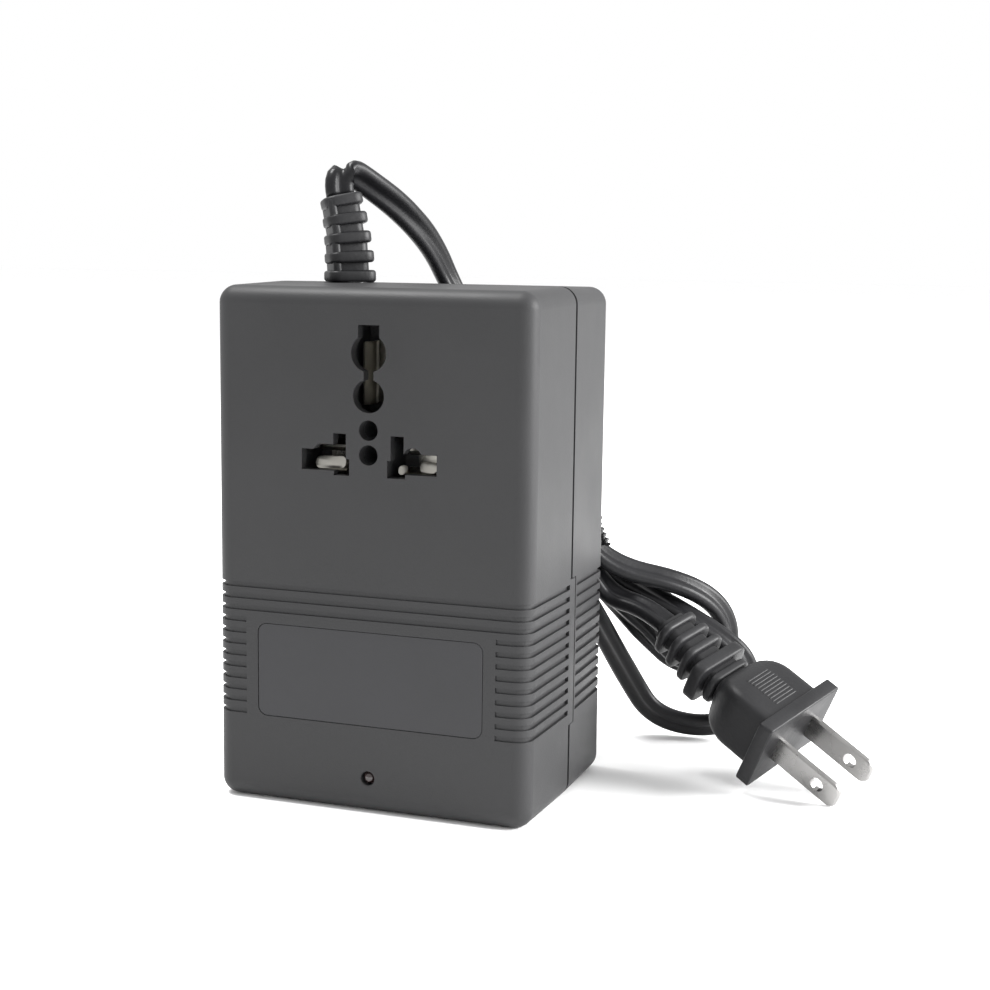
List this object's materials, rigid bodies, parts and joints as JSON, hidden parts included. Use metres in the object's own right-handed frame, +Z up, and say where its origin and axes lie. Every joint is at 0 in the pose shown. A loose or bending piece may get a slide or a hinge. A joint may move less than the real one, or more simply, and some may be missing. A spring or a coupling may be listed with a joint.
{
  "type": "travel voltage converter",
  "caption": "Boxy step-down converter with a universal mains socket in its face, a grooved lower band, an indicator lamp and a tied flat cord that ends in a flat-blade plug.",
  "frame": {"origin": "middle of the base, on the surface it stands on, below the seam between the two shells", "axes": "+X to the right seen from the front, +Y from the front face to the back, +Z up"},
  "size_m": [0.1343, 0.087, 0.1388],
  "materials": {
    "case_plastic": "fine matte texture",
    "plate_film": "satin",
    "carrier_plastic": "satin",
    "spring_brass": "plated, bright",
    "screw_steel": "zinc plated",
    "lamp_lens": "clear, tinted",
    "board_laminate": "satin",
    "resistor_body": "lacquered",
    "core_steel": "varnished laminations",
    "bobbin_nylon": "satin",
    "winding_copper": "enamelled wire",
    "tape_film": "polyester film",
    "fuse_case": "satin",
    "lead_live": "satin",
    "lead_neutral": "satin",
    "lead_lamp": "satin",
    "cord_pvc": "soft, slightly glossy",
    "plug_pvc": "satin",
    "blade_metal": "nickel plated",
    "tie_pvc": "satin"
  },
  "bodies": {
    "root": {"front_shell": "case_plastic", "rear_shell": "case_plastic", "rating_plate": "plate_film", "contact_carrier": "carrier_plastic", "live_contact": "spring_brass", "neutral_contact": "spring_brass", "earth_contact": "spring_brass", "carrier_screws": "screw_steel", "case_screws": "screw_steel", "indicator_lamp": "lamp_lens", "lamp_board": "board_laminate", "lamp_resistor": "resistor_body", "core_e_stack": "core_steel", "core_i_stack": "core_steel", "core_screws": "screw_steel", "core_washers": "screw_steel", "coil_bobbin": "bobbin_nylon", "coil_winding": "winding_copper", "winding_tape": "tape_film", "thermal_fuse": "fuse_case", "coil_lugs": "screw_steel", "output_live_lead": "lead_live", "output_neutral_lead": "lead_neutral", "supply_live_lead": "lead_live", "supply_neutral_lead": "lead_neutral", "lamp_lead_left": "lead_lamp", "lamp_lead_right": "lead_lamp", "cord_boot": "plug_pvc", "plug_body": "plug_pvc", "plug_blades": "blade_metal", "cord_lead": "cord_pvc", "cord_hank": "cord_pvc", "cord_tail": "cord_pvc", "hank_tie": "tie_pvc"}
  },
  "joints": []
}
